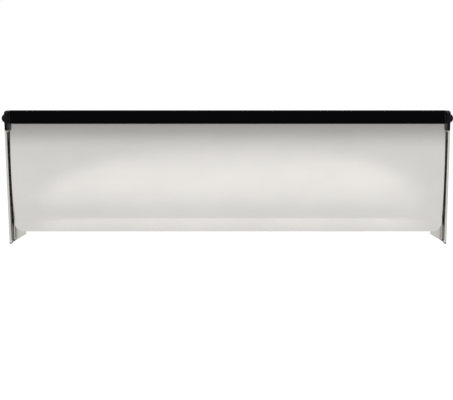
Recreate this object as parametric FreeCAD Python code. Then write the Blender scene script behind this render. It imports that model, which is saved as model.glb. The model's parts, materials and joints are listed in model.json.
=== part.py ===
import FreeCAD, Part
import math
import os

# Interior letter plate: a sprung flap hung between two end brackets that screw to the inside face of
# a door, one each side of the letter slot. Millimetres. +Z is up, +X is to the right seen from the
# room, and the door's face is the plane Y = 0, so the plate stands in front of it at negative Y.
# The origin is the centre of the four fixing holes, on the door's face.

V = FreeCAD.Vector

# ---------------------------------------------------------------- driving dimensions
# Flap plate
PLATE_WIDTH = 271.6        # visible width, end to end
PLATE_THICKNESS = 1.0
PLATE_DROP = 72.5          # pivot axis down to the plate's lower edge
PLATE_BULGE = 2.0          # how far the plate bows towards the room between rail and crease
LIP_HEIGHT = 8.5           # flat strip below the crease
LIP_CORNER_RADIUS = 6.5
TOP_CORNER_RADIUS = 1.2    # plate's upper corners, under the end blocks

# Pivot rod, the torsion springs wound round it, and what runs on it
ROD_RADIUS = 1.25
ROD_FLAT_DEPTH = 0.3       # cut off each side of the rod's keyed ends
RUNNING_CLEARANCE = 0.05
WIRE_RADIUS = 0.25
WIRE_BEND_SWELL = 1.04     # wire fattens where it is bent sharply
SPRING_CLEARANCE = 0.15    # rod to the inside of the coil
SPRING_TURNS = 9
SPRING_PITCH = 0.62
SPRING_GAP = 0.2           # spring to the bush and to its anchor
WIRE_HOLE_CLEARANCE = 0.06
SPRING_LEG = 2.4           # the leg that enters the anchor
ANCHOR_LENGTH = 4.0
PIVOT_STANDOFF = 6.3       # door face to pivot axis
PIVOT_HEIGHT = 36.0        # pivot axis above the centre of the fixing holes
BUSH_FLANGE = 0.8
BUSH_LENGTH = 6.0
CENTRE_BUSH_LENGTH = 8.0
WASHER_THICKNESS = 0.4
WASHER_WALL = 1.2
END_PLAY = 0.1             # rail's end bush to thrust washer
CAP_OVERHANG = 1.35        # cap's edge beyond the rod's side
CAP_RISE = 2.15            # dome's height beyond the end block
CAP_RIM = 0.6
CAP_WALL = 0.8             # dome's thickness over the rod's end

# Hinge rail, an extruded bar: a round channel for rod and springs, and a slot for the plate
COIL_CLEARANCE = 0.3       # coil to the channel's wall
RAIL_FRONT_WALL = 0.6
RAIL_BOTTOM_WALL = 1.0
RAIL_TOP_WALL = 2.7
RAIL_WEB = 0.5             # between channel and slot
RAIL_BACK_WALL = 0.6
RAIL_EDGE_RADIUS = 0.6
RAIL_BACK_TOP_RADIUS = 3.0     # lets the rail turn in front of the door
SLOT_DEPTH = 2.6
CRIMP_COUNT = 9            # dimples in the rail's back wall that grip the plate
CRIMP_PITCH = 29.0
CRIMP_RADIUS = 1.1
CRIMP_DEPTH = 0.3

# End brackets, folded from sheet
SHEET = 1.2
PLATE_SIDE_GAP = 0.85      # plate's edge to the cheek
CHEEK_DEPTH = 9.5
BRACKET_DROP = 79.3        # pivot axis down to the brackets' feet
LEG_WIDTH = 8.9            # leg against the door, cheek's thickness included
LEG_TOP = 3.6              # pivot axis down to the leg's upper end, beside the end block
FOOT_RISE = 4.5            # how far the leg's foot slopes up to its inner edge
BEND_RADIUS = 0.6          # inside of the fold
CHEEK_CORNER_RADIUS = 1.0
TAB_JOGGLE = 0.5           # the cheek's top tab is set inwards by this much
TAB_INSET = 1.6            # tab narrower than the cheek, front and back
TAB_RISE = 3.0             # pivot axis up to the tab's top
TAB_OVERLAP = 1.3
HOLE_RADIUS = 1.6
HOLE_EDGE = 5.0            # cheek's outer face to the hole's centre
HOLE_PITCH = 46.0          # upper to lower fixing hole
COUNTERSINK_RADIUS = 2.3

# Black end blocks on the cheeks' tops
BLOCK_THICKNESS = 2.35
BLOCK_TOP = 4.6
BLOCK_BOTTOM = 7.3
BLOCK_DOOR_GAP = 0.5
BLOCK_FRONT_RADIUS = 1.6
BLOCK_BACK_RADIUS = 3.0
BLOCK_FOOT_RADIUS = 0.4
BLOCK_LEG_GAP = 0.2        # block's inner face to the leg's raised end
BLOCK_PLATE_GAP = 0.3      # block's thick head above the plate's upper corner
TAB_FIT = 0.05

# Closing buffers
BUFFER_RADIUS = 2.3
BUFFER_HEIGHT = 0.85
BUFFER_EDGE = 0.3
BUFFER_DROP = 67.6         # pivot axis down to the buffer's centre
CLOSING_GAP = 0.05

# ---------------------------------------------------------------- derived places
PIVOT_Y = -PIVOT_STANDOFF
PIVOT_Z = PIVOT_HEIGHT
PLATE_HALF = PLATE_WIDTH / 2
CHEEK_INNER = PLATE_HALF + PLATE_SIDE_GAP
CHEEK_OUTER = CHEEK_INNER + SHEET
BLOCK_INNER = CHEEK_OUTER - BLOCK_THICKNESS
WASHER_INNER = BLOCK_INNER - WASHER_THICKNESS
BUSH_OUTER = WASHER_INNER - END_PLAY
RAIL_HALF = BUSH_OUTER - BUSH_FLANGE
BUSH_INNER = RAIL_HALF - BUSH_LENGTH
SPRING_OUTER = BUSH_INNER - SPRING_GAP - WIRE_RADIUS
SPRING_INNER = SPRING_OUTER - SPRING_TURNS * SPRING_PITCH
ANCHOR_OUTER = SPRING_INNER - WIRE_RADIUS - SPRING_GAP
CAP_OUTER = CHEEK_OUTER + CAP_RISE
ROD_HALF = CAP_OUTER - CAP_WALL
BORE_RADIUS = ROD_RADIUS + RUNNING_CLEARANCE
ROD_FLAT = ROD_RADIUS - ROD_FLAT_DEPTH
WASHER_RADIUS = BORE_RADIUS + WASHER_WALL
CAP_RADIUS = ROD_RADIUS + CAP_OVERHANG
SPRING_RADIUS = ROD_RADIUS + SPRING_CLEARANCE + WIRE_RADIUS
CHANNEL_RADIUS = SPRING_RADIUS + WIRE_RADIUS + COIL_CLEARANCE
# the rail's faces and the plate's front face, measured from the pivot axis
RAIL_FRONT = CHANNEL_RADIUS + RAIL_FRONT_WALL
RAIL_TOP = CHANNEL_RADIUS + RAIL_TOP_WALL
RAIL_BOTTOM = CHANNEL_RADIUS + RAIL_BOTTOM_WALL
SLOT_OFFSET = CHANNEL_RADIUS + RAIL_WEB
RAIL_BACK = SLOT_OFFSET + PLATE_THICKNESS + RAIL_BACK_WALL
SLOT_Y = PIVOT_Y + SLOT_OFFSET
LIP_BACK = -(SHEET + BUFFER_HEIGHT + CLOSING_GAP)
LIP_FRONT = LIP_BACK - PLATE_THICKNESS
CREASE_Z = PIVOT_Z - PLATE_DROP + LIP_HEIGHT
HOLE_X = CHEEK_OUTER - HOLE_EDGE
LEG_INNER = CHEEK_OUTER - LEG_WIDTH
FOOT_Z = PIVOT_Z - BRACKET_DROP


# ---------------------------------------------------------------- helpers
def face_from(edges):
    return Part.Face(Part.Wire(Part.__sortEdges__(edges)))


def rounded_polygon(corners):
    """Closed face from (point, radius) pairs, each corner rounded by its own radius."""
    count = len(corners)
    starts = []
    ends = []
    edges = []
    for index, (point, radius) in enumerate(corners):
        to_last = (corners[index - 1][0] - point).normalize()
        to_next = (corners[(index + 1) % count][0] - point).normalize()
        half_angle = to_last.getAngle(to_next) / 2
        reach = radius / math.tan(half_angle)
        starts.append(point + to_last * reach)
        ends.append(point + to_next * reach)
        if radius > 0:
            bisector = (to_last + to_next).normalize()
            middle = point + bisector * (radius / math.sin(half_angle) - radius)
            edges.append(Part.Arc(starts[-1], middle, ends[-1]).toShape())
    for index in range(count):
        edges.append(Part.makeLine(ends[index], starts[(index + 1) % count]))
    return face_from(edges)


def box_between(x_low, x_high, y_low, y_high, z_low, z_high):
    return Part.makeBox(x_high - x_low, y_high - y_low, z_high - z_low, V(x_low, y_low, z_low))


def rod_along_x(radius, x_low, x_high):
    """Cylinder on the pivot axis."""
    return Part.makeCylinder(radius, x_high - x_low, V(x_low, PIVOT_Y, PIVOT_Z), V(1, 0, 0))


def mirrored(shape):
    return shape.mirror(V(0, 0, 0), V(1, 0, 0))


def pivot_point(x, forward, up):
    """Point given by its distances in front of and above the pivot axis."""
    return V(x, PIVOT_Y - forward, PIVOT_Z + up)


# ---------------------------------------------------------------- flap
def rail_section(x):
    return rounded_polygon([
        (pivot_point(x, RAIL_FRONT, -RAIL_BOTTOM), RAIL_EDGE_RADIUS),
        (pivot_point(x, RAIL_FRONT, RAIL_TOP), RAIL_EDGE_RADIUS),
        (pivot_point(x, -RAIL_BACK, RAIL_TOP), RAIL_BACK_TOP_RADIUS),
        (pivot_point(x, -RAIL_BACK, -RAIL_BOTTOM), RAIL_EDGE_RADIUS / 2),
    ])


def make_hinge_rail():
    rail = rail_section(-RAIL_HALF).extrude(V(2 * RAIL_HALF, 0, 0))
    rail = rail.cut(rod_along_x(CHANNEL_RADIUS, -RAIL_HALF, RAIL_HALF))
    slot_bottom = PIVOT_Z - RAIL_BOTTOM
    slot = box_between(-RAIL_HALF, RAIL_HALF, SLOT_Y, SLOT_Y + PLATE_THICKNESS,
                       slot_bottom - RAIL_EDGE_RADIUS, slot_bottom + SLOT_DEPTH)
    rail = rail.cut(slot)
    back = PIVOT_Y + RAIL_BACK
    ball_radius = (CRIMP_RADIUS ** 2 + CRIMP_DEPTH ** 2) / (2 * CRIMP_DEPTH)
    for index in range(CRIMP_COUNT):
        x = (index - (CRIMP_COUNT - 1) / 2) * CRIMP_PITCH
        centre = V(x, back + ball_radius - CRIMP_DEPTH, slot_bottom + SLOT_DEPTH / 2)
        rail = rail.cut(Part.makeSphere(ball_radius, centre))
    return rail


def plate_section(x):
    """Side view of the plate: a tongue in the rail's slot, a long shallow bow, then the lip."""
    tongue_top = PIVOT_Z - RAIL_BOTTOM + SLOT_DEPTH
    bow_top = V(x, SLOT_Y, PIVOT_Z - RAIL_BOTTOM)
    crease = V(x, LIP_FRONT, CREASE_Z)
    chord = crease - bow_top
    radius = chord.Length ** 2 / (8 * PLATE_BULGE) + PLATE_BULGE / 2
    to_door = V(0, -chord.z, chord.y).normalize()
    centre = (bow_top + crease) * 0.5 + to_door * (radius - PLATE_BULGE)
    inner = radius - PLATE_THICKNESS

    def on_inner(y, sign):
        return V(x, y, centre.z + sign * math.sqrt(inner ** 2 - (y - centre.y) ** 2))

    tongue_back = SLOT_Y + PLATE_THICKNESS
    inner_top = on_inner(tongue_back, 1)
    inner_crease = on_inner(LIP_BACK, -1)
    lip_bottom = PIVOT_Z - PLATE_DROP
    outline = [
        Part.makeLine(V(x, SLOT_Y, tongue_top), bow_top),
        Part.Arc(bow_top, centre - to_door * radius, crease).toShape(),
        Part.makeLine(crease, V(x, LIP_FRONT, lip_bottom)),
        Part.makeLine(V(x, LIP_FRONT, lip_bottom), V(x, LIP_BACK, lip_bottom)),
        Part.makeLine(V(x, LIP_BACK, lip_bottom), inner_crease),
        Part.Arc(inner_crease, centre - to_door * inner, inner_top).toShape(),
        Part.makeLine(inner_top, V(x, tongue_back, tongue_top)),
        Part.makeLine(V(x, tongue_back, tongue_top), V(x, SLOT_Y, tongue_top)),
    ]
    return face_from(outline)


def make_flap_plate():
    rail_bottom = PIVOT_Z - RAIL_BOTTOM
    tongue_top = rail_bottom + SLOT_DEPTH
    lip_bottom = PIVOT_Z - PLATE_DROP
    front = -CHEEK_DEPTH * 2
    right_side = [
        (V(PLATE_HALF, front, lip_bottom), LIP_CORNER_RADIUS),
        (V(PLATE_HALF, front, rail_bottom - CLOSING_GAP), TOP_CORNER_RADIUS),
        (V(RAIL_HALF, front, rail_bottom - CLOSING_GAP), 0),
        (V(RAIL_HALF, front, tongue_top), 0),
    ]
    left_side = [(V(-point.x, point.y, point.z), radius) for point, radius in reversed(right_side)]
    outline = rounded_polygon(right_side + left_side).extrude(V(0, -2 * front, 0))
    section = plate_section(-PLATE_HALF).extrude(V(PLATE_WIDTH, 0, 0))
    return section.common(outline)


def make_end_bush():
    flange = rail_section(RAIL_HALF).extrude(V(BUSH_FLANGE, 0, 0))
    stem = rod_along_x(CHANNEL_RADIUS, BUSH_INNER, RAIL_HALF)
    return flange.fuse(stem).removeSplitter().cut(rod_along_x(BORE_RADIUS, BUSH_INNER, BUSH_OUTER))


def make_centre_bush():
    half = CENTRE_BUSH_LENGTH / 2
    return rod_along_x(CHANNEL_RADIUS, -half, half).cut(rod_along_x(BORE_RADIUS, -half, half))


def make_spring_anchor():
    inner = ANCHOR_OUTER - ANCHOR_LENGTH
    plug = rod_along_x(CHANNEL_RADIUS, inner, ANCHOR_OUTER)
    plug = plug.cut(rod_along_x(BORE_RADIUS, inner, ANCHOR_OUTER))
    leg_hole = Part.makeCylinder(WIRE_RADIUS + WIRE_HOLE_CLEARANCE, ANCHOR_LENGTH,
                                 V(inner, PIVOT_Y, PIVOT_Z + SPRING_RADIUS), V(1, 0, 0))
    return plug.cut(leg_hole)


# ---------------------------------------------------------------- pivot
def make_pivot_rod():
    rod = rod_along_x(ROD_RADIUS, -ROD_HALF, ROD_HALF)
    for x_low, x_high in ((BLOCK_INNER, ROD_HALF), (-ROD_HALF, -BLOCK_INNER)):
        for low, high in ((ROD_FLAT, 2 * ROD_RADIUS), (-2 * ROD_RADIUS, -ROD_FLAT)):
            rod = rod.cut(box_between(x_low, x_high, PIVOT_Y + low, PIVOT_Y + high,
                                      PIVOT_Z - ROD_RADIUS, PIVOT_Z + ROD_RADIUS))
    for x in (-SPRING_OUTER, SPRING_OUTER):
        rod = rod.cut(Part.makeCylinder(WIRE_RADIUS + WIRE_HOLE_CLEARANCE, 4 * ROD_RADIUS,
                                        V(x, PIVOT_Y, PIVOT_Z - 2 * ROD_RADIUS), V(0, 0, 1)))
    return rod


def make_return_spring():
    """Torsion spring: one leg passes through the rod, the other enters the anchor in the rail."""
    helix = Part.makeHelix(SPRING_PITCH, SPRING_TURNS * SPRING_PITCH, SPRING_RADIUS)
    ring = Part.Wire(Part.makeCircle(WIRE_RADIUS, V(SPRING_RADIUS, 0, 0), V(0, 1, 0)))
    coil = Part.Wire(helix).makePipeShell([ring], True, True)
    # the helix starts on +X and climbs +Z: turn it to start above the axis and run inwards along X
    coil.rotate(V(0, 0, 0), V(0, 1, 0), -90)
    coil.translate(V(SPRING_OUTER, PIVOT_Y, PIVOT_Z))
    start = V(SPRING_OUTER, PIVOT_Y, PIVOT_Z + SPRING_RADIUS)
    end = V(SPRING_INNER, PIVOT_Y, PIVOT_Z + SPRING_RADIUS)
    leg_through_rod = Part.makeCylinder(WIRE_RADIUS, SPRING_RADIUS + ROD_RADIUS, start, V(0, 0, -1))
    leg_in_anchor = Part.makeCylinder(WIRE_RADIUS, SPRING_LEG, end, V(-1, 0, 0))
    spring = coil
    bend_radius = WIRE_RADIUS * WIRE_BEND_SWELL
    for piece in (leg_through_rod, leg_in_anchor,
                  Part.makeSphere(bend_radius, start), Part.makeSphere(bend_radius, end)):
        spring = spring.fuse(piece)
    return spring


def make_thrust_washer():
    disc = rod_along_x(WASHER_RADIUS, WASHER_INNER, BLOCK_INNER)
    return disc.cut(rod_along_x(BORE_RADIUS, WASHER_INNER, BLOCK_INNER))


def make_rod_cap():
    """Domed cap pushed on the rod's end."""
    base = V(CHEEK_OUTER, PIVOT_Y, PIVOT_Z)
    rim = CHEEK_OUTER + CAP_RIM
    dome_height = CAP_OUTER - rim
    shoulder = V(rim, PIVOT_Y, PIVOT_Z + CAP_RADIUS)
    crown = V(CAP_OUTER, PIVOT_Y, PIVOT_Z)
    ball = (CAP_RADIUS ** 2 + dome_height ** 2) / (2 * dome_height)
    half_angle = math.asin(min(CAP_RADIUS / ball, 1)) / 2
    middle = V(CAP_OUTER - ball + ball * math.cos(half_angle), PIVOT_Y,
               PIVOT_Z + ball * math.sin(half_angle))
    outline = [
        Part.makeLine(base, V(CHEEK_OUTER, PIVOT_Y, PIVOT_Z + CAP_RADIUS)),
        Part.makeLine(V(CHEEK_OUTER, PIVOT_Y, PIVOT_Z + CAP_RADIUS), shoulder),
        Part.Arc(shoulder, middle, crown).toShape(),
        Part.makeLine(crown, base),
    ]
    dome = face_from(outline).revolve(base, V(1, 0, 0), 360)
    flat_rod = rod_along_x(ROD_RADIUS, CHEEK_OUTER, ROD_HALF).common(
        box_between(CHEEK_OUTER, ROD_HALF, PIVOT_Y - ROD_FLAT, PIVOT_Y + ROD_FLAT,
                    PIVOT_Z - ROD_RADIUS, PIVOT_Z + ROD_RADIUS))
    return dome.cut(flat_rod)


# ---------------------------------------------------------------- brackets
def bracket_section():
    """The folded angle seen from above: leg against the door, cheek standing out from it."""
    z = FOOT_Z
    return rounded_polygon([
        (V(LEG_INNER, 0, z), 0),
        (V(CHEEK_OUTER, 0, z), BEND_RADIUS + SHEET),
        (V(CHEEK_OUTER, -CHEEK_DEPTH, z), SHEET / 4),
        (V(CHEEK_INNER, -CHEEK_DEPTH, z), SHEET / 4),
        (V(CHEEK_INNER, -SHEET, z), BEND_RADIUS),
        (V(LEG_INNER, -SHEET, z), 0),
    ])


def tab_box(fit):
    """The joggled tab at the top of the cheek, grown all round by a fit."""
    x_low = CHEEK_INNER - TAB_JOGGLE
    return box_between(x_low - fit, x_low + SHEET + fit,
                       -CHEEK_DEPTH + TAB_INSET - fit, -BLOCK_DOOR_GAP - TAB_INSET + fit,
                       PIVOT_Z - BLOCK_BOTTOM - TAB_OVERLAP, PIVOT_Z + TAB_RISE + fit)


def make_bracket():
    cheek_top = PIVOT_Z - BLOCK_BOTTOM
    angle = bracket_section().extrude(V(0, 0, cheek_top - FOOT_Z))
    # above the end block's foot only the leg's inner part goes on up, as far as the rail allows
    clear_of_block = box_between(BLOCK_INNER - BLOCK_LEG_GAP, CHEEK_OUTER + SHEET, -SHEET, 0,
                                 cheek_top, PIVOT_Z)
    raised_end = box_between(LEG_INNER, CHEEK_INNER, -SHEET, 0, FOOT_Z + FOOT_RISE + SHEET,
                             PIVOT_Z - LEG_TOP)
    angle = angle.fuse(raised_end.cut(clear_of_block)).removeSplitter()
    # sloping foot: the leg's lower edge climbs from the cheek to the inner edge
    slope = Part.makePolygon([
        V(CHEEK_INNER, SHEET, FOOT_Z), V(LEG_INNER, SHEET, FOOT_Z + FOOT_RISE),
        V(LEG_INNER - SHEET, SHEET, FOOT_Z + FOOT_RISE), V(LEG_INNER - SHEET, SHEET, FOOT_Z - SHEET),
        V(CHEEK_INNER, SHEET, FOOT_Z - SHEET), V(CHEEK_INNER, SHEET, FOOT_Z)])
    angle = angle.cut(Part.Face(slope).extrude(V(0, -3 * SHEET, 0)))
    # the cheek's lower front corner is rounded
    corner = box_between(CHEEK_INNER - SHEET, CHEEK_OUTER + SHEET, -CHEEK_DEPTH - SHEET,
                         -CHEEK_DEPTH + CHEEK_CORNER_RADIUS, FOOT_Z - SHEET,
                         FOOT_Z + CHEEK_CORNER_RADIUS)
    corner = corner.cut(Part.makeCylinder(
        CHEEK_CORNER_RADIUS, 4 * SHEET,
        V(CHEEK_INNER - SHEET, -CHEEK_DEPTH + CHEEK_CORNER_RADIUS, FOOT_Z + CHEEK_CORNER_RADIUS),
        V(1, 0, 0)))
    angle = angle.cut(corner)
    bracket = angle.fuse(tab_box(0)).removeSplitter()
    keyed_hole = rod_along_x(ROD_RADIUS, BLOCK_INNER, CHEEK_OUTER).common(
        box_between(BLOCK_INNER, CHEEK_OUTER, PIVOT_Y - ROD_FLAT, PIVOT_Y + ROD_FLAT,
                    PIVOT_Z - ROD_RADIUS, PIVOT_Z + ROD_RADIUS))
    bracket = bracket.cut(keyed_hole)
    sink = COUNTERSINK_RADIUS - HOLE_RADIUS
    for z in (-HOLE_PITCH / 2, HOLE_PITCH / 2):
        bracket = bracket.cut(Part.makeCylinder(HOLE_RADIUS, 2 * SHEET, V(HOLE_X, SHEET / 2, z),
                                                V(0, -1, 0)))
        bracket = bracket.cut(Part.makeCone(HOLE_RADIUS, COUNTERSINK_RADIUS, sink,
                                            V(HOLE_X, -SHEET + sink, z), V(0, -1, 0)))
    return bracket


def make_end_block():
    """Moulded block pushed over the cheek's tab: it carries the rod and hides the tab."""
    front = CHEEK_DEPTH - PIVOT_STANDOFF
    back = PIVOT_STANDOFF - BLOCK_DOOR_GAP
    outline = rounded_polygon([
        (pivot_point(BLOCK_INNER, front, -BLOCK_BOTTOM), BLOCK_FOOT_RADIUS),
        (pivot_point(BLOCK_INNER, front, BLOCK_TOP), BLOCK_FRONT_RADIUS),
        (pivot_point(BLOCK_INNER, -back, BLOCK_TOP), BLOCK_BACK_RADIUS),
        (pivot_point(BLOCK_INNER, -back, -BLOCK_BOTTOM), BLOCK_FOOT_RADIUS),
    ])
    block = outline.extrude(V(BLOCK_THICKNESS, 0, 0))
    # below its head the block is no thicker than the joggled tab, so that the plate swings past it
    relief = box_between(BLOCK_INNER - SHEET, CHEEK_INNER - TAB_JOGGLE, -CHEEK_DEPTH - SHEET, SHEET,
                         PIVOT_Z - BLOCK_BOTTOM - SHEET, PIVOT_Z - RAIL_BOTTOM + BLOCK_PLATE_GAP)
    block = block.cut(relief)
    block = block.cut(tab_box(TAB_FIT))
    keyed_hole = rod_along_x(ROD_RADIUS, BLOCK_INNER, CHEEK_OUTER).common(
        box_between(BLOCK_INNER, CHEEK_OUTER, PIVOT_Y - ROD_FLAT, PIVOT_Y + ROD_FLAT,
                    PIVOT_Z - ROD_RADIUS, PIVOT_Z + ROD_RADIUS))
    return block.cut(keyed_hole)


def make_buffer():
    centre = V(HOLE_X, -SHEET, PIVOT_Z - BUFFER_DROP)
    disc = Part.makeCylinder(BUFFER_RADIUS, BUFFER_HEIGHT, centre, V(0, -1, 0))
    front_rim = [edge for edge in disc.Edges
                 if edge.Closed and abs(edge.CenterOfMass.y - (-SHEET - BUFFER_HEIGHT)) < CLOSING_GAP]
    return disc.makeFillet(BUFFER_EDGE, front_rim)


# ---------------------------------------------------------------- assembly
def build():
    nodes = {
        "flap_plate": make_flap_plate(),
        "hinge_rail": make_hinge_rail(),
        "centre_bush": make_centre_bush(),
        "pivot_rod": make_pivot_rod(),
    }
    handed = {
        "bracket": make_bracket(),
        "end_block": make_end_block(),
        "rod_cap": make_rod_cap(),
        "thrust_washer": make_thrust_washer(),
        "closing_buffer": make_buffer(),
        "end_bush": make_end_bush(),
        "spring_anchor": make_spring_anchor(),
        "return_spring": make_return_spring(),
    }
    for name, shape in handed.items():
        nodes[name + "_right"] = shape
        nodes[name + "_left"] = mirrored(shape)
    return nodes


os.makedirs("parts", exist_ok=True)
for node, shape in build().items():
    shape.exportStep(os.path.join("parts", node + ".step"))
    print("%-24s solids %d valid %s volume %.2f" % (node, len(shape.Solids), shape.isValid(),
                                                     shape.Volume))
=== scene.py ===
import json
import math

import bmesh
import bpy
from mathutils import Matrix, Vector


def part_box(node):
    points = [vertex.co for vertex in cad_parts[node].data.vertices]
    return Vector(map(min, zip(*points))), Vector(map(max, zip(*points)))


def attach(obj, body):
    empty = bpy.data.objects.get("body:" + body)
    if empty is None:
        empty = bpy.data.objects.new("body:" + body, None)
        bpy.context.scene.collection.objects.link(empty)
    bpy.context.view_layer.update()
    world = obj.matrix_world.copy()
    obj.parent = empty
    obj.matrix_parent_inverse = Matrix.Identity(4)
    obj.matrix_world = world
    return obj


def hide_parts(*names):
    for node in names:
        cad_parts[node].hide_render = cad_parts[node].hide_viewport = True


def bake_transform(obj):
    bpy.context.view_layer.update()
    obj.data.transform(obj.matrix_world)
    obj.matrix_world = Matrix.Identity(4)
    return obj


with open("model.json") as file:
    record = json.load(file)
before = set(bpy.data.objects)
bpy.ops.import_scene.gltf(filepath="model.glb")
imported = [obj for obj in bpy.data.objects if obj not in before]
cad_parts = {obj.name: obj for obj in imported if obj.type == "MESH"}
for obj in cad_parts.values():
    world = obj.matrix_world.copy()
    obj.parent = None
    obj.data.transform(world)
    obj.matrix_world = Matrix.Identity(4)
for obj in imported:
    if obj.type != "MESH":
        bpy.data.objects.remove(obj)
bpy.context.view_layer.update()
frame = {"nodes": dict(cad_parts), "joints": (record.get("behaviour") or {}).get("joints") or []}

# Interior letter plate: a bowed satin nickel flap on a black hinge rail between two folded brackets.
# Metres, in the CAD frame: +Z up, the room at -Y, the door's face at Y = 0.
MM = 0.001

# ---------------------------------------------------------------- sizes that the frame's boxes don't give
PLATE_THICKNESS = 1.0 * MM
LIP_HEIGHT = 8.5 * MM
LIP_CORNER_RADIUS = 6.5 * MM
CREASE_BAND = 1.0 * MM         # height of the bend between bow and lip
CREASE_ROLL = math.radians(4.5)    # the bend turns past the lip before it eases into it
LIP_FLARE = math.radians(2.4)      # lip leans out towards the room
PLATE_BULGE = 2.0 * MM
SLOT_TO_BACK = 0.6 * MM        # rail's back wall behind the plate
SLOT_DEPTH = 2.6 * MM
TOP_CORNER_RADIUS = 1.2 * MM   # plate's upper corners
UNDER_RAIL = 0.05 * MM         # plate's upper corners below the rail's end bushes
EDGE_BREAK = 0.14 * MM
MIN_ROUNDING = 0.05 * MM
RAIL_EDGE_RADIUS = 0.6 * MM
RAIL_BACK_TOP_RADIUS = 3.0 * MM
CHANNEL_RADIUS = 2.2 * MM      # round channel for the rod and its springs
CRIMP_COUNT = 9                # dimples that hold the plate in the rail
CRIMP_PITCH = 29.0 * MM
CRIMP_RADIUS = 1.1 * MM
CRIMP_DEPTH = 0.3 * MM
BLOCK_FRONT_RADIUS = 1.6 * MM
BLOCK_BACK_RADIUS = 3.0 * MM
BLOCK_FOOT_RADIUS = 0.4 * MM
BLOCK_OUTER_RIM = 0.5 * MM     # rounding of the moulded block's outer and inner edges
BLOCK_INNER_RIM = 0.3 * MM
BLOCK_PLATE_GAP = 0.3 * MM     # block's thick head above the rail's lower face
TAB_JOGGLE = 0.5 * MM          # bracket's tab inside the block
TAB_INSET = 1.6 * MM
TAB_RISE = 3.0 * MM
TAB_FIT = 0.05 * MM
TAB_WEB = 0.1 * MM             # skin of the block over the tab's inner face
ROD_RADIUS = 1.25 * MM
CAP_RIM = 0.6 * MM
CAP_WALL = 0.8 * MM

PLATE_LOW, PLATE_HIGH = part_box("flap_plate")
RAIL_LOW, RAIL_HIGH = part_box("hinge_rail")
BLOCK_LOW, BLOCK_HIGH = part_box("end_block_right")
CAP_LOW, CAP_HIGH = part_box("rod_cap_right")
BRACKET_LOW, BRACKET_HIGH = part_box("bracket_right")
PIVOT = Vector(frame["joints"][0]["pos_m"])
SHEET = 1.2 * MM               # brackets' thickness
BLOCK_FOOT_DROP = 7.3 * MM     # pivot axis down to the end blocks' feet
CHEEK_INNER = BRACKET_HIGH.x - SHEET


# ---------------------------------------------------------------- helpers
def add_object(name, mesh):
    piece = bpy.data.objects.new(name, mesh)
    bpy.context.scene.collection.objects.link(piece)
    return piece


def smooth_by_angle(piece, degrees=30):
    """Smooth shading, with edges sharper than the angle kept sharp."""
    mesh = piece.data
    mesh.polygons.foreach_set("use_smooth", [True] * len(mesh.polygons))
    mesh.set_sharp_from_angle(angle=math.radians(degrees))


def bevel(piece, width, segments=2, degrees=40):
    modifier = piece.modifiers.new("edge_break", "BEVEL")
    modifier.width = width
    modifier.segments = segments
    modifier.limit_method = "ANGLE"
    modifier.angle_limit = math.radians(degrees)
    modifier.harden_normals = True
    return piece


def finish_piece(piece, body, slot, material, *nodes):
    piece.data.materials.clear()
    piece.data.materials.append(material)
    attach(piece, body)
    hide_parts(*nodes)
    return piece


# ---------------------------------------------------------------- materials
def new_material(name):
    material = bpy.data.materials.new(name)
    material.use_nodes = True
    tree = material.node_tree
    return material, tree, tree.nodes["Principled BSDF"]


def stretched_noise(tree, scale, detail=4.0, roughness=0.6):
    """Noise whose cells have the given number per metre along X, Y and Z."""
    coords = tree.nodes.new("ShaderNodeTexCoord")
    mapping = tree.nodes.new("ShaderNodeMapping")
    mapping.inputs["Scale"].default_value = scale
    noise = tree.nodes.new("ShaderNodeTexNoise")
    noise.inputs["Scale"].default_value = 1.0
    noise.inputs["Detail"].default_value = detail
    noise.inputs["Roughness"].default_value = roughness
    tree.links.new(coords.outputs["Object"], mapping.inputs["Vector"])
    tree.links.new(mapping.outputs["Vector"], noise.inputs["Vector"])
    return noise


def remap(tree, source, low, high, from_low=0.3, from_high=0.7):
    node = tree.nodes.new("ShaderNodeMapRange")
    node.interpolation_type = "SMOOTHSTEP"
    node.inputs["From Min"].default_value = from_low
    node.inputs["From Max"].default_value = from_high
    node.inputs["To Min"].default_value = low
    node.inputs["To Max"].default_value = high
    tree.links.new(source, node.inputs["Value"])
    return node.outputs["Result"]


def math_node(tree, operation, first, second):
    node = tree.nodes.new("ShaderNodeMath")
    node.operation = operation
    for socket, value in zip(node.inputs, (first, second)):
        if isinstance(value, float):
            socket.default_value = value
        else:
            tree.links.new(value, socket)
    return node.outputs["Value"]


def decay(tree, distance, reach):
    """Falls from 1 as a negative distance grows, to 1/e at the reach."""
    return math_node(tree, "EXPONENT", math_node(tree, "DIVIDE", distance, reach), 0.0)


def colour_mix(tree, factor, colour_a, colour_b):
    node = tree.nodes.new("ShaderNodeMix")
    node.data_type = "RGBA"
    node.inputs["A"].default_value = (*colour_a, 1.0)
    node.inputs["B"].default_value = (*colour_b, 1.0)
    tree.links.new(factor, node.inputs["Factor"])
    return node.outputs["Result"]


def bump(tree, shader, height, strength, distance):
    node = tree.nodes.new("ShaderNodeBump")
    node.inputs["Strength"].default_value = strength
    node.inputs["Distance"].default_value = distance
    tree.links.new(height, node.inputs["Height"])
    tree.links.new(node.outputs["Normal"], shader.inputs["Normal"])


def satin_nickel(name, grain, base=(0.63, 0.612, 0.588), rough=(0.13, 0.17)):
    """Satin nickel plate, its grain running along the axis with the fewest cells per metre."""
    material, tree, shader = new_material(name)
    lines = stretched_noise(tree, grain, detail=2.0)
    cloud = stretched_noise(tree, (18.0, 18.0, 30.0), detail=3.0)
    darker = tuple(c * 0.955 for c in base)
    colour = colour_mix(tree, remap(tree, cloud.outputs["Fac"], 0.0, 1.0), darker, base)
    tree.links.new(colour, shader.inputs["Base Color"])
    tree.links.new(remap(tree, lines.outputs["Fac"], *rough), shader.inputs["Roughness"])
    shader.inputs["Metallic"].default_value = 1.0
    bump(tree, shader, lines.outputs["Fac"], 0.05, 0.00001)
    return material


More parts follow.
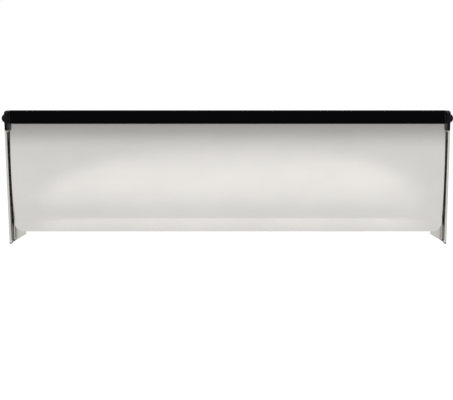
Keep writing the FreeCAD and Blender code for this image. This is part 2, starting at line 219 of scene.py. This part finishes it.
def inside_band(tree, value, low, high, blur):
    """1 where the value lies between low and high, 0 outside, with soft edges."""
    rise = remap(tree, value, 0.0, 1.0, low - blur, low + blur)
    fall = remap(tree, value, 1.0, 0.0, high - blur, high + blur)
    return math_node(tree, "MULTIPLY", rise, fall)


def tinted(tree, source, factor, colour):
    """The source colour, turned to a plain one where the factor is high."""
    mix = tree.nodes.new("ShaderNodeMix")
    mix.data_type = "RGBA"
    mix.inputs["B"].default_value = (*colour, 1.0)
    tree.links.new(source, mix.inputs["A"])
    tree.links.new(factor, mix.inputs["Factor"])
    return mix.outputs["Result"]


def nickel_with_painted_shade(name, grain, base, fold_and_foot_shade_colour, tab_shade_colour):
    """Satin nickel with painted shade: a painted dark strip in the fold by the plate's gap, a painted contact shadow
    at the feet, and the tab above the blocks' feet painted near black as shade.
    """
    material = satin_nickel(name, grain, base=base, rough=(0.20, 0.28))
    tree = material.node_tree
    shader = tree.nodes["Principled BSDF"]
    plated = shader.inputs["Base Color"].links[0].from_socket
    coords = tree.nodes.new("ShaderNodeTexCoord")
    split = tree.nodes.new("ShaderNodeSeparateXYZ")
    tree.links.new(coords.outputs["Object"], split.inputs["Vector"])
    aside = math_node(tree, "ABSOLUTE", split.outputs["X"], 0.0)
    depth = split.outputs["Y"]
    height = split.outputs["Z"]
    blur = 0.12 * MM
    # painted shade: the cheek's inner face darkened along the fold, where the gap beside the plate lies in shade
    fold_shade_mask = inside_band(tree, aside, CHEEK_INNER - 0.22 * MM, CHEEK_INNER + 0.2 * MM, blur)
    fold_shade_mask = math_node(tree, "MULTIPLY", fold_shade_mask,
                     inside_band(tree, depth, BRACKET_LOW.y + 1.2 * MM, -SHEET + 0.1 * MM, blur))
    # painted contact shadow: the cheeks darkened just above where they stand on the floor
    foot = inside_band(tree, height, BRACKET_LOW.z - MM, BRACKET_LOW.z + 0.9 * MM, 3 * blur)
    foot = math_node(tree, "MULTIPLY", foot,
                     inside_band(tree, aside, CHEEK_INNER - 1.6 * MM, BRACKET_HIGH.x + MM, blur))
    # painted shade: the tab above the blocks' feet, seen through the gap by the plate, turned near black
    tab_shade_mask = remap(tree, height, 0.0, 1.0, PIVOT.z - BLOCK_FOOT_DROP - blur, PIVOT.z - BLOCK_FOOT_DROP + blur)
    fold_and_foot_shaded = tinted(tree, plated, math_node(tree, "MAXIMUM", fold_shade_mask, foot), fold_and_foot_shade_colour)
    shaded = tinted(tree, fold_and_foot_shaded, tab_shade_mask, tab_shade_colour)
    tree.links.new(shaded, shader.inputs["Base Color"])
    return material


def black_plastic(name, base, rough, specular, cells, strength):
    material, tree, shader = new_material(name)
    pebbles = stretched_noise(tree, cells, detail=3.0)
    lighter = tuple(c * 1.6 for c in base)
    tree.links.new(colour_mix(tree, remap(tree, pebbles.outputs["Fac"], 0.0, 1.0), base, lighter),
                   shader.inputs["Base Color"])
    tree.links.new(remap(tree, pebbles.outputs["Fac"], rough - 0.05, rough + 0.05),
                   shader.inputs["Roughness"])
    shader.inputs["Specular IOR Level"].default_value = specular
    bump(tree, shader, pebbles.outputs["Fac"], strength, 0.00004)
    return material


def plain_stuff(name, base, rough, metallic, cells):
    material, tree, shader = new_material(name)
    grain = stretched_noise(tree, cells)
    darker = tuple(c * 0.85 for c in base)
    tree.links.new(colour_mix(tree, remap(tree, grain.outputs["Fac"], 0.0, 1.0), darker, base),
                   shader.inputs["Base Color"])
    tree.links.new(remap(tree, grain.outputs["Fac"], rough * 0.8, rough * 1.2),
                   shader.inputs["Roughness"])
    shader.inputs["Metallic"].default_value = metallic
    bump(tree, shader, grain.outputs["Fac"], 0.15, 0.00002)
    return material


NICKEL_FLAP = satin_nickel("satin_nickel_flap", (5.0, 8000.0, 8000.0))
# both dark colours are painted shade: one for the fold and feet, a near black one for the tab
NICKEL_BRACKET = nickel_with_painted_shade("satin_nickel_bracket", (6000.0, 6000.0, 40.0),
                                  base=(0.56, 0.54, 0.50), fold_and_foot_shade_colour=(0.045, 0.037, 0.028),
                                  tab_shade_colour=(0.006, 0.006, 0.006))
BLACK_RAIL = black_plastic("black_rail", (0.0008, 0.0008, 0.0012), 0.50, 0.02,
                           (60.0, 5000.0, 5000.0), 0.10)
BLACK_NYLON = black_plastic("black_nylon", (0.0016, 0.0016, 0.0016), 0.42, 0.10,
                            (2600.0, 2600.0, 2600.0), 0.25)
STEEL = plain_stuff("bright_steel", (0.56, 0.56, 0.55), 0.22, 1.0, (60.0, 4000.0, 4000.0))
SPRING = plain_stuff("spring_wire", (0.42, 0.41, 0.39), 0.30, 1.0, (900.0, 900.0, 900.0))
NYLON = plain_stuff("natural_nylon", (0.74, 0.71, 0.62), 0.42, 0.0, (1500.0, 1500.0, 1500.0))
RUBBER = plain_stuff("buffer_rubber", (0.020, 0.020, 0.020), 0.75, 0.0, (3000.0, 3000.0, 3000.0))

CAD_FINISH = {
    "pivot_rod": STEEL,
    "centre_bush": NYLON,
    "end_bush": BLACK_NYLON,
    "end_block": BLACK_NYLON,
    "rod_cap": BLACK_NYLON,
    "bracket": NICKEL_BRACKET,
    "flap_plate": NICKEL_FLAP,
    "hinge_rail": BLACK_RAIL,
    "thrust_washer": BLACK_NYLON,
    "spring_anchor": NYLON,
    "return_spring": SPRING,
    "closing_buffer": RUBBER,
}


CAD_EDGE_BREAKS = {"bracket": 0.12 * MM}


def finish_cad_nodes():
    for name, node in frame["nodes"].items():
        kind = name.removesuffix("_left").removesuffix("_right")
        if kind in CAD_EDGE_BREAKS:
            bevel(node, CAD_EDGE_BREAKS[kind])
        for slot in node.material_slots:
            slot.material = CAD_FINISH[kind]


# ---------------------------------------------------------------- flap plate
def plate_path():
    """The plate's front face from the slot down to the lip's edge, as (y, z, normal angle) rows."""
    slot_back = RAIL_HIGH.y - SLOT_TO_BACK
    top = Vector((slot_back - PLATE_THICKNESS, RAIL_LOW.z))
    crease = Vector((PLATE_HIGH.y - PLATE_THICKNESS, PLATE_LOW.z + LIP_HEIGHT))
    chord = crease - top
    radius = chord.length ** 2 / (8 * PLATE_BULGE) + PLATE_BULGE / 2
    to_door = Vector((-chord.y, chord.x)).normalized()
    centre = (top + crease) / 2 + to_door * (radius - PLATE_BULGE)
    start = math.atan2(top.y - centre.y, top.x - centre.x)
    end = math.atan2(crease.y - centre.y, crease.x - centre.x)
    if start < 0:
        start += 2 * math.pi
    if end < 0:
        end += 2 * math.pi
    rows = [(top.x, PLATE_HIGH.z, math.pi), (top.x, RAIL_LOW.z + 0.2 * MM, math.pi)]
    bow_steps = 60
    end_bow = end - CREASE_BAND / 2 / radius
    for step in range(bow_steps + 1):
        angle = start + (end_bow - start) * step / bow_steps
        rows.append((centre.x + radius * math.cos(angle), centre.y + radius * math.sin(angle), angle))
    # below the bow the path is followed step by step along its own slope
    stride = 0.1 * MM
    lip_angle = math.pi - LIP_FLARE
    rolled = math.pi - CREASE_ROLL
    walked = 0.0
    while rows[-1][1] > PLATE_LOW.z:
        walked += stride
        if walked < CREASE_BAND:
            angle = end_bow + (rolled - end_bow) * ease(walked / CREASE_BAND)
        else:
            angle = rolled + (lip_angle - rolled) * ease((walked - CREASE_BAND) / CREASE_BAND)
        y, z, last = rows[-1]
        step = min(stride, (z - PLATE_LOW.z) / -math.cos(angle))
        rows.append((y - step * math.sin(angle), z + step * math.cos(angle), angle))
        if z + step * math.cos(angle) < PLATE_LOW.z + 1e-9:
            break
    return rows


def ease(share):
    """Smooth step from 0 to 1."""
    share = min(max(share, 0.0), 1.0)
    return share * share * (3 - 2 * share)


def rounded_half_width(from_end, radius):
    """Half width of the plate at a distance from its rounded end."""
    inside = max(radius - from_end, 0.0)
    return PLATE_HIGH.x - radius + math.sqrt(radius ** 2 - inside ** 2)


def plate_half_width(z):
    """Half width at a height: as long as the rail in the slot, rounded at the plate's corners."""
    corner_top = RAIL_LOW.z - UNDER_RAIL
    if z > corner_top:
        return RAIL_HIGH.x
    if corner_top - z < TOP_CORNER_RADIUS:
        return rounded_half_width(corner_top - z, TOP_CORNER_RADIUS)
    if z - PLATE_LOW.z < LIP_CORNER_RADIUS:
        return rounded_half_width(z - PLATE_LOW.z, LIP_CORNER_RADIUS)
    return PLATE_HIGH.x


def refined_rows(rows):
    """Adds rows where the outline turns quickly, in the corners."""
    corner_top = RAIL_LOW.z - UNDER_RAIL
    wanted = [corner_top + 0.01 * MM, corner_top]
    corner_steps = 14
    for step in range(corner_steps + 1):
        reach = 1 - math.cos(math.pi / 2 * step / corner_steps)
        wanted.append(PLATE_LOW.z + LIP_CORNER_RADIUS * reach)
        wanted.append(corner_top - TOP_CORNER_RADIUS * reach)
    for z in wanted:
        for index in range(len(rows) - 1):
            above, below = rows[index], rows[index + 1]
            if above[1] - 1e-7 > z > below[1] + 1e-7:
                share = (above[1] - z) / (above[1] - below[1])
                row = tuple(a + (b - a) * share for a, b in zip(above, below))
                rows.insert(index + 1, row)
                break
    return rows


def make_plate():
    rows = refined_rows(plate_path())
    columns = 72
    grid = bmesh.new()
    sides = []
    for offset in (0.0, PLATE_THICKNESS):
        layer = []
        for y, z, angle in rows:
            half = plate_half_width(z)
            back_y = y - offset * math.cos(angle)
            back_z = z - offset * math.sin(angle)
            if z == rows[-1][1]:
                back_z = z
            layer.append([grid.verts.new((half * (2 * c / columns - 1), back_y, back_z))
                          for c in range(columns + 1)])
        sides.append(layer)
    front, back = sides
    for r in range(len(rows) - 1):
        for c in range(columns):
            grid.faces.new((front[r][c], front[r + 1][c], front[r + 1][c + 1], front[r][c + 1]))
            grid.faces.new((back[r][c], back[r][c + 1], back[r + 1][c + 1], back[r + 1][c]))
        for c, flip in ((0, False), (columns, True)):
            face = [front[r][c], back[r][c], back[r + 1][c], front[r + 1][c]]
            grid.faces.new(face[::-1] if flip else face)
    for c in range(columns):
        grid.faces.new((front[0][c], front[0][c + 1], back[0][c + 1], back[0][c]))
        grid.faces.new((front[-1][c], back[-1][c], back[-1][c + 1], front[-1][c + 1]))
    bmesh.ops.recalc_face_normals(grid, faces=grid.faces)
    mesh = bpy.data.meshes.new("flap_sheet")
    grid.to_mesh(mesh)
    grid.free()
    piece = add_object("flap_sheet", mesh)
    smooth_by_angle(piece, 40)
    bevel(piece, EDGE_BREAK, 2, 50)
    return finish_piece(piece, "flap", "satin_nickel", NICKEL_FLAP, "flap_plate")


# ---------------------------------------------------------------- black parts
def rounded_outline(corners, inset=0.0, steps=6):
    """Points (y, z) round a convex or notched outline of (y, z, radius) corners, in order."""
    points = []
    count = len(corners)
    for index, (y, z, radius) in enumerate(corners):
        here = Vector((y, z))
        to_last = (Vector(corners[index - 1][:2]) - here).normalized()
        to_next = (Vector(corners[(index + 1) % count][:2]) - here).normalized()
        if radius == 0.0:
            points.append(here)
            continue
        here = here + (to_last + to_next) * inset
        rounding = max(radius - inset, MIN_ROUNDING)
        centre = here + (to_last + to_next) * rounding
        for step in range(steps + 1):
            turn = math.pi / 2 * step / steps
            points.append(centre - to_next * rounding * math.cos(turn) - to_last * rounding * math.sin(turn))
    return points


def add_ring(grid, points, x):
    return [grid.verts.new((x, y, z)) for y, z in points]


def skin_rings(grid, rings):
    """Joins each ring of vertices to the next."""
    for ring, following in zip(rings, rings[1:]):
        count = len(ring)
        for index in range(count):
            after = (index + 1) % count
            grid.faces.new((ring[index], ring[after], following[after], following[index]))


def ring_edges(grid, ring):
    edges = []
    for index, vertex in enumerate(ring):
        edge = grid.edges.get((vertex, ring[(index + 1) % len(ring)]))
        edges.append(edge or grid.edges.new((vertex, ring[(index + 1) % len(ring)])))
    return edges


def mesh_from(grid, name):
    bmesh.ops.recalc_face_normals(grid, faces=grid.faces)
    mesh = bpy.data.meshes.new(name)
    grid.to_mesh(mesh)
    grid.free()
    return mesh


def mirrored_mesh(mesh, name):
    """The same mesh on the other side of X = 0."""
    grid = bmesh.new()
    grid.from_mesh(mesh)
    for vertex in grid.verts:
        vertex.co.x = -vertex.co.x
    bmesh.ops.reverse_faces(grid, faces=grid.faces)
    copy = bpy.data.meshes.new(name)
    grid.to_mesh(copy)
    grid.free()
    return copy


def circle_points(radius, count=48):
    turns = [2 * math.pi * index / count for index in range(count)]
    return [(PIVOT.y + radius * math.cos(t), PIVOT.z + radius * math.sin(t)) for t in turns]


def rail_stations():
    """Places along the rail, close together at each crimp."""
    places = {RAIL_LOW.x, RAIL_HIGH.x}
    for index in range(CRIMP_COUNT):
        centre = (index - (CRIMP_COUNT - 1) / 2) * CRIMP_PITCH
        for step in range(-6, 7):
            places.add(centre + CRIMP_RADIUS * step / 6)
    return sorted(places)


def crimp_depth(x, z):
    """How far the back wall is pressed in at a place."""
    nearest = round(x / CRIMP_PITCH) * CRIMP_PITCH
    share = math.hypot(x - nearest, z - RAIL_LOW.z - SLOT_DEPTH / 2) / CRIMP_RADIUS
    return CRIMP_DEPTH * max(1 - share ** 2, 0.0)


def make_rail():
    slot_back = RAIL_HIGH.y - SLOT_TO_BACK
    slot_front = slot_back - PLATE_THICKNESS
    slot_top = RAIL_LOW.z + SLOT_DEPTH
    low, high = RAIL_LOW.z, RAIL_HIGH.z
    front, back = RAIL_LOW.y, RAIL_HIGH.y
    outline = rounded_outline([
        (front, high, RAIL_EDGE_RADIUS), (front, low, RAIL_EDGE_RADIUS),
        (slot_front, low, 0.0), (slot_front, slot_top, 0.0),
        (slot_back, slot_top, 0.0), (slot_back, low, 0.0),
        (back, low, RAIL_EDGE_RADIUS / 2), (back, high, RAIL_BACK_TOP_RADIUS)])
    # more points up the back wall, where the crimps are
    wall = [index for index in range(len(outline)) if abs(outline[index].x - back) < 1e-7]
    foot, top = outline[wall[0]], outline[wall[1]]
    rise = [foot.lerp(top, step / 22) for step in range(1, 22)]
    outline = outline[:wall[0] + 1] + rise + outline[wall[0] + 1:]
    grid = bmesh.new()
    rings = []
    for x in rail_stations():
        pressed = []
        for y, z in outline:
            on_back = abs(y - back) < 1e-7
            pressed.append((y - crimp_depth(x, z) if on_back else y, z))
        rings.append(add_ring(grid, pressed, x))
    skin_rings(grid, rings)
    bores = [add_ring(grid, circle_points(CHANNEL_RADIUS), x) for x in (RAIL_LOW.x, RAIL_HIGH.x)]
    skin_rings(grid, bores)
    for ring, bore in ((rings[0], bores[0]), (rings[-1], bores[1])):
        edges = ring_edges(grid, ring) + ring_edges(grid, bore)
        bmesh.ops.triangle_fill(grid, edges=edges, use_beauty=True)
    piece = add_object("rail_bar", mesh_from(grid, "rail_bar"))
    smooth_by_angle(piece, 28)
    return finish_piece(piece, "flap", "black_rail", BLACK_RAIL, "hinge_rail")


def box_cutter(low, high):
    corners = [(x, y, z) for x in (low[0], high[0]) for y in (low[1], high[1]) for z in (low[2], high[2])]
    faces = [(0, 1, 3, 2), (4, 6, 7, 5), (0, 4, 5, 1), (2, 3, 7, 6), (0, 2, 6, 4), (1, 5, 7, 3)]
    mesh = bpy.data.meshes.new("cutter")
    mesh.from_pydata(corners, [], faces)
    return add_object("cutter", mesh)


def carve(piece, cutters):
    """Takes the cutters out of the piece's mesh and removes them."""
    for cutter in cutters:
        modifier = piece.modifiers.new("carve", "BOOLEAN")
        modifier.object = cutter
        modifier.operation = "DIFFERENCE"
        modifier.solver = "EXACT"
    graph = bpy.context.evaluated_depsgraph_get()
    carved = bpy.data.meshes.new_from_object(piece.evaluated_get(graph))
    piece.modifiers.clear()
    piece.data = carved
    for cutter in cutters:
        bpy.data.objects.remove(cutter)


def make_end_block():
    """Moulded block with a soft outer rim, relieved below its head for the plate to swing past."""
    inner, outer = BLOCK_LOW.x, BLOCK_HIGH.x
    low, high = BLOCK_LOW.z, BLOCK_HIGH.z
    front, back = BLOCK_LOW.y, BLOCK_HIGH.y
    corners = [(front, high, BLOCK_FRONT_RADIUS), (front, low, BLOCK_FOOT_RADIUS),
               (back, low, BLOCK_FOOT_RADIUS), (back, high, BLOCK_BACK_RADIUS)]
    grid = bmesh.new()
    rings = []
    steps = 5
    for step in range(steps + 1):
        turn = math.pi / 2 * step / steps
        inset = BLOCK_INNER_RIM * (1 - math.sin(turn))
        rings.append(add_ring(grid, rounded_outline(corners, inset), inner + BLOCK_INNER_RIM * (1 - math.cos(turn))))
    for step in range(steps + 1):
        turn = math.pi / 2 * step / steps
        inset = BLOCK_OUTER_RIM * (1 - math.cos(turn))
        rings.append(add_ring(grid, rounded_outline(corners, inset), outer - BLOCK_OUTER_RIM * (1 - math.sin(turn))))
    skin_rings(grid, rings)
    grid.faces.new(rings[0])
    grid.faces.new(rings[-1])
    piece = add_object("block_shell_right", mesh_from(grid, "block_shell_right"))
    tab_inner = CHEEK_INNER - TAB_JOGGLE
    head_foot = RAIL_LOW.z + BLOCK_PLATE_GAP
    relief = box_cutter((inner - SHEET, front - SHEET, low - SHEET),
                        (tab_inner - TAB_WEB, SHEET, head_foot))
    pocket = box_cutter((tab_inner - TAB_WEB / 4, front + TAB_INSET - TAB_FIT, low - SHEET),
                        (tab_inner + SHEET + TAB_FIT, back - TAB_INSET + TAB_FIT,
                         PIVOT.z + TAB_RISE + TAB_FIT))
    bore = bmesh.new()
    rings = [add_ring(bore, circle_points(ROD_RADIUS), x) for x in (inner - SHEET, outer + SHEET)]
    skin_rings(bore, rings)
    bore.faces.new(rings[0])
    bore.faces.new(rings[1])
    bore_cutter = add_object("cutter", mesh_from(bore, "cutter"))
    carve(piece, [relief, pocket, bore_cutter])
    smooth_by_angle(piece, 32)
    finish_piece(piece, "frame", "black_nylon", BLACK_NYLON, "end_block_right")
    left = add_object("block_shell_left", mirrored_mesh(piece.data, "block_shell_left"))
    smooth_by_angle(left, 32)
    finish_piece(left, "frame", "black_nylon", BLACK_NYLON, "end_block_left")


def make_rod_cap():
    """Domed cap over the rod's end, turned about the pivot axis."""
    base, crown = CAP_LOW.x, CAP_HIGH.x
    radius = (CAP_HIGH.z - CAP_LOW.z) / 2
    rim = base + CAP_RIM
    dome = crown - rim
    ball = (radius ** 2 + dome ** 2) / (2 * dome)
    sweep = math.asin(radius / ball)
    soft = 0.12 * MM
    profile = [(base, ROD_RADIUS), (base, radius - soft), (base + soft, radius), (rim - soft, radius)]
    for step in range(10):
        turn = sweep * (1 - step / 10) * 0.98
        profile.append((crown - ball + ball * math.cos(turn), ball * math.sin(turn)))
    grid = bmesh.new()
    rings = [add_ring(grid, circle_points(r), x) for x, r in profile]
    bottom = add_ring(grid, circle_points(ROD_RADIUS), crown - CAP_WALL)
    skin_rings(grid, [bottom] + rings)
    grid.faces.new(rings[-1])
    grid.faces.new(bottom)
    piece = add_object("cap_dome_right", mesh_from(grid, "cap_dome_right"))
    left = add_object("cap_dome_left", mirrored_mesh(piece.data, "cap_dome_left"))
    for cap, node in ((piece, "rod_cap_right"), (left, "rod_cap_left")):
        smooth_by_angle(cap, 32)
        finish_piece(cap, "frame", "black_nylon", BLACK_NYLON, node)


# ---------------------------------------------------------------- springs
def make_springs():
    """Copies of the CAD coils in spring wire, left fixed where they are: outer leg in the rod, inner leg in the
    rail's anchor.
    """
    for side, sign in (("left", -1), ("right", 1)):
        node = "return_spring_" + side
        coil = add_object("coil_" + side, frame["nodes"][node].data.copy())
        coil.data.materials.clear()
        coil.data.materials.append(SPRING)
        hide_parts(node)
        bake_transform(coil)


# ---------------------------------------------------------------- stage
CAMERA_PITCH = math.radians(11.0)
CAMERA_PLACE = Vector((0.0171, -0.6668, 0.1128))
CAMERA_LENS = 85.0
CAMERA_SHIFT = -0.063
FLOOR_Z = BRACKET_LOW.z - 0.05 * MM


FAR_LEVEL = 0.98               # floor's glow far off
POOL_GAIN = 0.34
POOL_REACH = 1.0
# painted contact shadow in the floor's glow at the plate's foot
FOOT_PAINTED_SHADOW = 0.80
FOOT_REACH = 0.05
SIDE_PAINTED_SHADE = 0.27
SIDE_BAND = (0.12, 0.16)       # the shade at each side begins and is full, off the middle
SIDE_END = (0.50, 1.10)        # and fades out again
AHEAD_START = (-0.04, -0.015)
AHEAD_END = (-1.80, -0.60)
WHITE_LEVEL = 1.0


def make_floor():
    mesh = bpy.data.meshes.new("floor")
    reach = 12.0
    corners = [(-reach, -reach, FLOOR_Z), (reach, -reach, FLOOR_Z),
               (reach, reach, FLOOR_Z), (-reach, reach, FLOOR_Z)]
    mesh.from_pydata(corners, [], [(0, 1, 2, 3)])
    floor = add_object("floor", mesh)
    material, tree, shader = new_material("white_floor")
    shader.inputs["Base Color"].default_value = (0.05, 0.05, 0.05, 1.0)
    shader.inputs["Roughness"].default_value = 0.9
    shader.inputs["Specular IOR Level"].default_value = 0.0
    coords = tree.nodes.new("ShaderNodeTexCoord")
    split = tree.nodes.new("ShaderNodeSeparateXYZ")
    tree.links.new(coords.outputs["Object"], split.inputs["Vector"])
    ahead = math_node(tree, "MINIMUM", split.outputs["Y"], 0.0)
    # painted light in the floor's glow: a painted pool of light a hand's breadth in front of the plate, dimmer far
    # off, a painted contact shadow at its foot and painted shade to the sides
    far = math_node(tree, "MULTIPLY", decay(tree, ahead, POOL_REACH), POOL_GAIN)
    near = math_node(tree, "MULTIPLY", decay(tree, ahead, FOOT_REACH), FOOT_PAINTED_SHADOW)
    pool = math_node(tree, "ADD", math_node(tree, "SUBTRACT", far, near), FAR_LEVEL)
    aside = math_node(tree, "ABSOLUTE", split.outputs["X"], 0.0)
    side = remap(tree, aside, 0.0, SIDE_PAINTED_SHADE, *SIDE_BAND)
    for fade in (remap(tree, aside, 1.0, 0.0, *SIDE_END), remap(tree, ahead, 0.0, 1.0, *AHEAD_END),
                 remap(tree, ahead, 1.0, 0.0, *AHEAD_START)):
        side = math_node(tree, "MULTIPLY", side, fade)
    kept = math_node(tree, "SUBTRACT", 1.0, side)
    glow = math_node(tree, "MULTIPLY", math_node(tree, "MAXIMUM", pool, WHITE_LEVEL), kept)
    # never so dim that the floor stops looking white
    glow = math_node(tree, "MAXIMUM", glow, FAR_LEVEL)
    shader.inputs["Emission Color"].default_value = (1.0, 1.0, 1.0, 1.0)
    tree.links.new(glow, shader.inputs["Emission Strength"])
    mesh.materials.append(material)


def make_world():
    world = bpy.data.worlds.new("studio")
    bpy.context.scene.world = world
    world.use_nodes = True
    tree = world.node_tree
    background = tree.nodes["Background"]
    coords = tree.nodes.new("ShaderNodeTexCoord")
    split = tree.nodes.new("ShaderNodeSeparateXYZ")
    ramp = tree.nodes.new("ShaderNodeValToRGB")
    tree.links.new(coords.outputs["Generated"], split.inputs["Vector"])
    tree.links.new(split.outputs["Z"], ramp.inputs["Fac"])
    tree.links.new(ramp.outputs["Color"], background.inputs["Color"])
    stops = [(0.0, 1.0), (0.02, 0.88), (0.07, 0.60), (0.14, 0.44), (0.45, 0.70), (0.8, 1.0)]
    elements = ramp.color_ramp.elements
    while len(elements) < len(stops):
        elements.new(0.5)
    for element, (place, level) in zip(elements, stops):
        element.position = place
        element.color = (level, level, level, 1.0)
    background.inputs["Strength"].default_value = 1.0


def make_softbox(name, place, target, size, power):
    light = bpy.data.lights.new(name, "AREA")
    light.shape = "RECTANGLE"
    light.size, light.size_y = size
    light.energy = power
    lamp = bpy.data.objects.new(name, light)
    lamp.location = place
    lamp.rotation_euler = (Vector(target) - Vector(place)).to_track_quat("-Z", "Y").to_euler()
    bpy.context.scene.collection.objects.link(lamp)


def make_camera():
    camera = bpy.data.objects.new("camera", bpy.data.cameras.new("camera"))
    camera.data.sensor_width = 36.0
    camera.data.lens = CAMERA_LENS
    camera.data.shift_x = CAMERA_SHIFT
    camera.data.clip_start = 0.01
    camera.data.clip_end = 50.0
    camera.location = CAMERA_PLACE
    camera.rotation_euler = (math.pi / 2 - CAMERA_PITCH, 0.0, 0.0)
    bpy.context.scene.collection.objects.link(camera)
    bpy.context.scene.camera = camera


finish_cad_nodes()
make_plate()
make_rail()
make_end_block()
make_rod_cap()
make_springs()
make_floor()
make_world()
make_softbox("top_softbox", (0.0, -0.25, 0.9), (0.0, -0.1, 0.0), (1.2, 0.6), 9.0)
make_camera()
bpy.context.scene.view_settings.view_transform = "Standard"
